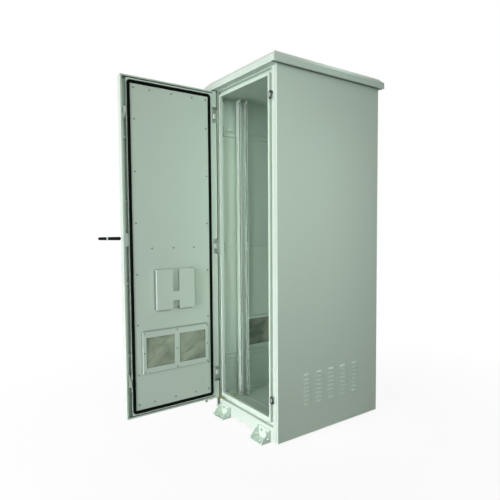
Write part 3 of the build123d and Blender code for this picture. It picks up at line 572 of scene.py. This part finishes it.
def door_seal(corner_steps=8, profile_steps=10):
    """Foamed bead with a domed section, laid round the door in one loop with rounded corners."""
    low, high = (Vector(corner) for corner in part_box("door_gasket"))
    height = high.x - low.x
    inset = SEAL_WIDTH / 2 + SEAL_CORNER
    ys, zs = (low.y + inset, high.y - inset), (low.z + inset, high.z - inset)
    corners = ((ys[1], zs[1], 0), (ys[0], zs[1], 90), (ys[0], zs[0], 180), (ys[1], zs[0], 270))
    arc = [pi * k / profile_steps for k in range(profile_steps + 1)]
    rings = []
    for y, z, start in corners:
        for step in range(corner_steps + 1):
            turn = radians(start + 90 * step / corner_steps)
            out = Vector((0, cos(turn), sin(turn)))
            centre = Vector((low.x, y, z)) + out * SEAL_CORNER
            rings.append([
                centre + out * (SEAL_WIDTH / 2 * cos(a)) + Vector((height * sin(a) ** SEAL_DOME_POWER, 0, 0))
                for a in arc])
    points, faces = ring_sweep(rings, True)
    piece = add_mesh("door_seal", points, faces, seal, "door", True)
    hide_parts("door_gasket")


def perforated_plate(us, vs, holes, place):
    """Closed plate cut into cells along us and vs, with the cells in holes left open."""
    points, faces, index = [], [], {}

    def at(i, j, layer):
        if (i, j, layer) not in index:
            index[i, j, layer] = len(points)
            points.append(place(us[i], vs[j], layer))
        return index[i, j, layer]

    cells = {(i, j) for i in range(len(us) - 1) for j in range(len(vs) - 1)} - holes
    for i, j in sorted(cells):
        corners = [(i, j), (i + 1, j), (i + 1, j + 1), (i, j + 1)]
        neighbours = [(i, j - 1), (i + 1, j), (i, j + 1), (i - 1, j)]
        faces.append([at(*corner, 0) for corner in corners])
        faces.append([at(*corner, 1) for corner in corners[::-1]])
        for a, b, beyond in zip(corners, corners[1:] + corners[:1], neighbours):
            if beyond not in cells:
                faces.append((at(*b, 0), at(*a, 0), at(*a, 1), at(*b, 1)))
    return points, faces


def rack_upright(name):
    """Channel upright with the rack's hole pattern through both of its flanges."""
    node = "rack_upright_" + name
    low, high = (Vector(corner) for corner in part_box(node))
    web, edge = (high.x, low.x) if name == "right" else (low.x, high.x)
    inward = 1 if edge < web else -1
    height = high.z - low.z
    units = int(height // RACK_PITCH)
    start = low.z + (height - units * RACK_PITCH) / 2
    centres = [start + RACK_PITCH * (unit + share) for unit in range(units) for share in RACK_HOLE_SHARES]
    half_hole = RACK_HOLE_HEIGHT / 2
    vs = [low.z] + [c + half for c in centres for half in (-half_hole, half_hole)] + [high.z]
    hole_edge = edge + inward * (RACK_HOLE_INSET - RACK_HOLE_WIDTH / 2)
    us = [edge, hole_edge, hole_edge + inward * RACK_HOLE_WIDTH, web]
    holes = {(1, 2 * i + 1) for i in range(len(centres))}
    inner_web = web - inward * SHEET
    sheets = [
        perforated_plate(us, vs, holes, lambda u, v, layer: (u, low.y + layer * SHEET, v)),
        perforated_plate(us, vs, holes, lambda u, v, layer: (u, high.y - layer * SHEET, v)),
        perforated_plate([low.y + SHEET, low.y + WEB_SHADE, high.y - SHEET], [low.z, high.z], set(),
                         lambda u, v, layer: (web - inward * layer * SHEET, u, v)),
    ]
    points, faces = [], []
    for sheet_points, sheet_faces in sheets:
        faces += [[len(points) + k for k in face] for face in sheet_faces]
        points += sheet_points
    piece = add_mesh("perforated_upright_" + name, points, faces, upright_coat, "cabinet")
    piece.data.materials.append(deep_shade)
    # Painted shade: the holes' sides and the web's strip behind the front flange take the near-black
    # deep_shade coat
    for face in piece.data.polygons:
        middle = face.center
        from_edge = abs(middle.x - edge)
        through_sheet = abs(face.normal.y) < 1 / 2
        in_fold = abs(middle.x - inner_web) < SAME_PLANE and middle.y < low.y + WEB_SHADE
        in_hole = abs(from_edge - RACK_HOLE_INSET) < RACK_HOLE_WIDTH and through_sheet
        at_edge = from_edge < SAME_PLANE or middle.z < low.z + SHEET or middle.z > high.z - SHEET
        if in_fold or in_hole and not at_edge:
            face.material_index = 1
    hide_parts(node)


def fold_wave(y, z, waves, noise_slice):
    """Noise over the cloth, with its waves laid aslant."""
    return noise.noise(Vector([y * by_y + z * by_z for by_y, by_z in waves] + [noise_slice]))


def fold_height(y, z):
    """Height of the slack cloth's folds, from 0 to 1."""
    broad = fold_wave(y, z, BROAD_WAVES, BROAD_SLICE)
    soft = fold_wave(y, z, SOFT_WAVES, SOFT_SLICE)
    return min(1.0, max(0.0, MEAN_FOLD_SHARE + BROAD_SHARE * broad + SOFT_SHARE * soft))


def filter_mat(node, body, mat):
    """Cloth mat with slack folds on its face and a flat back, in its holder's space."""
    low, high = (Vector(corner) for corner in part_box(node))
    columns = ceil((high.y - low.y) / MAT_STEP)
    rows = ceil((high.z - low.z) / MAT_STEP)
    points, faces = [], []
    for j in range(rows + 1):
        for i in range(columns + 1):
            y = low.y + (high.y - low.y) * i / columns
            z = low.z + (high.z - low.z) * j / rows
            points.append((high.x - MAT_FOLD * (1 - fold_height(y, z)), y, z))
    front = len(points)
    points += [(low.x, y, z) for _, y, z in points]
    for j in range(rows):
        for i in range(columns):
            a = j * (columns + 1) + i
            face = (a, a + 1, a + columns + 2, a + columns + 1)
            faces += [face, tuple(front + k for k in face[::-1])]
    rim = list(range(columns + 1))
    rim += [(j + 1) * (columns + 1) + columns for j in range(rows)]
    rim += [rows * (columns + 1) + columns - 1 - i for i in range(columns)]
    rim += [(rows - 1 - j) * (columns + 1) for j in range(rows - 1)]
    faces += [(b, a, front + a, front + b) for a, b in zip(rim, rim[1:] + rim[:1])]
    piece = add_mesh(node + "_cloth", points, faces, mat, body, True)
    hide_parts(node)


def lever_band(steps=5):
    """Light sleeve round the lever's grip."""
    turn = radians(LEVER_ANGLE)
    along = Vector((-sin(turn), -cos(turn), 0))
    across = Vector((-cos(turn), sin(turn), 0))
    rings = []
    for end in BAND_RING_SHARES:
        reach = BAND_PLACE + end * BAND_WIDTH / 2
        share = (reach - LEVER_NECK) / (LEVER_TIP - LEVER_NECK)
        half_width = (LEVER_ROOT_WIDTH + (LEVER_TIP_WIDTH - LEVER_ROOT_WIDTH) * share) / 2
        proud = BAND_PROUD if abs(end) < 1 else 0
        flat_u = LEVER_THICK / 2 + proud - BAND_CORNER
        flat_v = half_width + proud - BAND_CORNER
        ring = []
        for u, v, start in ((1, 1, 0), (-1, 1, 90), (-1, -1, 180), (1, -1, 270)):
            for k in range(steps + 1):
                a = radians(start + 90 * k / steps)
                ring.append(LEVER_PIVOT + along * reach + across * (u * flat_u + BAND_CORNER * cos(a))
                            + Vector((0, 0, v * flat_v + BAND_CORNER * sin(a))))
        rings.append(ring)
    points, faces = ring_sweep(rings, False)
    add_mesh("lever_band", points, faces, coat, "lever", True)


def route_line(route):
    """Closely spaced points along a route's smooth spline."""
    curve = bpy.data.curves.new("route", "CURVE")
    curve.dimensions = "3D"
    curve.resolution_u = ROUTE_STEPS
    spline = curve.splines.new("NURBS")
    spline.points.add(len(route) - 1)
    for point, place in zip(spline.points, route):
        point.co = (*place, 1)
    spline.order_u = ROUTE_ORDER
    spline.use_endpoint_u = True
    holder = bpy.data.objects.new("route", curve)
    scene.collection.objects.link(holder)
    bpy.context.view_layer.update()
    mesh = bpy.data.meshes.new_from_object(holder.evaluated_get(bpy.context.evaluated_depsgraph_get()))
    line = [v.co.copy() for v in mesh.vertices]
    bpy.data.objects.remove(holder)
    bpy.data.curves.remove(curve)
    bpy.data.meshes.remove(mesh)
    return line


def walk(line, step):
    """Points at even distances along a line, with its direction at each."""
    lengths = [(b - a).length for a, b in zip(line, line[1:])]
    total = sum(lengths)
    count = ceil(total / step)
    places = []
    index, done = 0, 0.0
    for i in range(count + 1):
        target = total * i / count
        while index < len(lengths) - 1 and done + lengths[index] < target:
            done += lengths[index]
            index += 1
        share = (target - done) / lengths[index]
        ahead = (line[index + 1] - line[index]).normalized()
        places.append((line[index].lerp(line[index + 1], share), ahead))
    return places


def coil_points(route, per_turn=16):
    """Helix round a route's spline; its first point is straight above the route's start."""
    side = Vector((0, 0, 1))
    points = []
    for i, (place, ahead) in enumerate(walk(route_line(route), COIL_PITCH / per_turn)):
        side = (side - ahead * side.dot(ahead)).normalized()
        other = ahead.cross(side)
        angle = 2 * pi * i / per_turn
        points.append(place + (side * cos(angle) + other * sin(angle)) * COIL_RADIUS)
    return points


def earth_wire(name, route, body, node, around=10):
    """Curly insulated wire, yellow with a green stripe, from its stud to the hinge axis."""
    path = coil_points(route)[::-1]
    turns = [2 * pi * k / around for k in range(around)]
    rings = []
    side = STRIPE_START
    for i, place in enumerate(path):
        ahead = (path[min(i + 1, len(path) - 1)] - path[max(i - 1, 0)]).normalized()
        side = (side - ahead * side.dot(ahead)).normalized()
        other = ahead.cross(side)
        rings.append([place + (side * cos(turn) + other * sin(turn)) * WIRE_DIAMETER / 2 for turn in turns])
    points, faces = ring_sweep(rings, False)
    piece = add_mesh(name, points, faces, yellow, body, True)
    piece.data.materials.append(green)
    for face in piece.data.polygons:
        face.material_index = 1 if face.index % around < round(around * STRIPE_SHARE) else 0
    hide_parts(node)


def place_camera():
    """Camera at the photograph's place and angle."""
    yaw, pitch, roll = radians(CAMERA_YAW), radians(CAMERA_PITCH), radians(CAMERA_ROLL)
    ahead = Vector((-sin(yaw) * cos(pitch), cos(yaw) * cos(pitch), sin(pitch)))
    level = Vector((cos(yaw), sin(yaw), 0))
    above = level.cross(ahead)
    right = level * cos(roll) + above * sin(roll)
    up = above * cos(roll) - level * sin(roll)
    data = bpy.data.cameras.new("camera")
    data.sensor_width = SENSOR
    data.lens = SENSOR * FOCAL_PIXELS / IMAGE_SIZE
    data.shift_x = (IMAGE_SIZE / 2 - CENTRE_PIXEL[0]) / IMAGE_SIZE
    data.shift_y = (CENTRE_PIXEL[1] - IMAGE_SIZE / 2) / IMAGE_SIZE
    data.clip_end = FAR_CLIP
    camera = bpy.data.objects.new("camera", data)
    camera.matrix_world = Matrix((
        (right.x, up.x, -ahead.x, CAMERA_PLACE.x), (right.y, up.y, -ahead.y, CAMERA_PLACE.y),
        (right.z, up.z, -ahead.z, CAMERA_PLACE.z), (0, 0, 0, 1)))
    scene.collection.objects.link(camera)
    scene.camera = camera


def area_light(name, place, target, size, power, spread, tint):
    """Rectangular lamp turned to its target, which leaves no mirror image on glossy faces."""
    data = bpy.data.lights.new(name, "AREA")
    data.shape = "RECTANGLE"
    data.size, data.size_y = size
    data.energy = power
    data.spread = radians(spread)
    data.color = tint
    light = bpy.data.objects.new(name, data)
    light.location = place
    light.rotation_euler = (Vector(target) - Vector(place)).to_track_quat("-Z", "Y").to_euler()
    light.visible_glossy = False
    scene.collection.objects.link(light)


def seen_rays(owner):
    """One for rays that show the surroundings as they are: from the camera, mirrored or let through."""
    path = owner.node_tree.nodes.new("ShaderNodeLightPath")
    direct = math_node(owner, "MAXIMUM", path.outputs["Is Camera Ray"], path.outputs["Is Glossy Ray"])
    return math_node(owner, "MAXIMUM", direct, path.outputs["Is Transmission Ray"])


def mix_shaders(tree, share, first, second):
    """A blend of two shaders, with the share of the second."""
    mix = tree.nodes.new("ShaderNodeMixShader")
    tree.links.new(share, mix.inputs[0])
    tree.links.new(first.outputs[0], mix.inputs[1])
    tree.links.new(second.outputs[0], mix.inputs[2])
    return mix


def surroundings():
    """White to look at, and a softer, faintly green light to be lit by."""
    world = bpy.data.worlds.new("studio")
    scene.world = world
    world.use_nodes = True
    tree = world.node_tree
    white = tree.nodes["Background"]
    white.inputs["Color"].default_value = (1, 1, 1, 1)
    white.inputs["Strength"].default_value = 1.0
    soft = tree.nodes.new("ShaderNodeBackground")
    soft.inputs["Color"].default_value = (*AMBIENT_TINT, 1)
    soft.inputs["Strength"].default_value = AMBIENT
    mix = mix_shaders(tree, seen_rays(world), soft, white)
    tree.links.new(mix.outputs[0], tree.nodes["World Output"].inputs["Surface"])


def pale_floor(reach=FLOOR_REACH):
    """Pale floor that keeps a soft shadow near the cabinet and fades to white away from it."""
    mat, shader = new_material("floor", FLOOR, roughness=0.9, specular=0.1)
    tree = mat.node_tree
    grain = texture(mat, "ShaderNodeTexNoise", scale=6.0)
    paint(mat, shader, ramp(mat, grain.outputs["Fac"], [(0.0, FLOOR), (1.0, shaded(FLOOR, FLOOR_GRAIN))]))
    glow = tree.nodes.new("ShaderNodeEmission")
    away = tree.nodes.new("ShaderNodeVectorMath")
    away.operation = "LENGTH"
    tree.links.new(place_node(mat).outputs["Object"], away.inputs[0])
    share = span(mat, away.outputs["Value"], FLOOR_NEAR, FLOOR_FAR, FLOOR_GLOW, 1.0)
    shown = mix_shaders(tree, share, shader, glow)
    bounce = tree.nodes.new("ShaderNodeBsdfDiffuse")
    bounce.inputs["Color"].default_value = (*FLOOR_BOUNCE, 1)
    mix = mix_shaders(tree, seen_rays(mat), bounce, shown)
    tree.links.new(mix.outputs[0], tree.nodes["Material Output"].inputs["Surface"])
    mesh = bpy.data.meshes.new("floor")
    corners = [(-reach, -reach, 0), (reach, -reach, 0), (reach, reach, 0), (-reach, reach, 0)]
    mesh.from_pydata(corners, [], [(0, 1, 2, 3)])
    mesh.materials.append(mat)
    floor = bpy.data.objects.new("floor", mesh)
    scene.collection.objects.link(floor)


def studio():
    """Soft light, strongest on the front, with weaker lamps for the sides, the inside and the feet."""
    surroundings()
    pale_floor()
    for name, lamp in LAMPS.items():
        area_light(name, **lamp)


door_seal()
rack_upright("right")
rack_upright("left")
filter_mat("door_filter_mat_hinge_side", "door", cloth)
filter_mat("door_filter_mat_free_side", "door", cloth)
filter_mat("side_filter_mat", "cabinet", wall_cloth)
lever_band()
earth_wire("earth_coil_door", DOOR_WIRE_ROUTE, "door", "earth_wire_door")
earth_wire("earth_coil_frame", FRAME_WIRE_ROUTE, "cabinet", "earth_wire_frame")
place_camera()
studio()
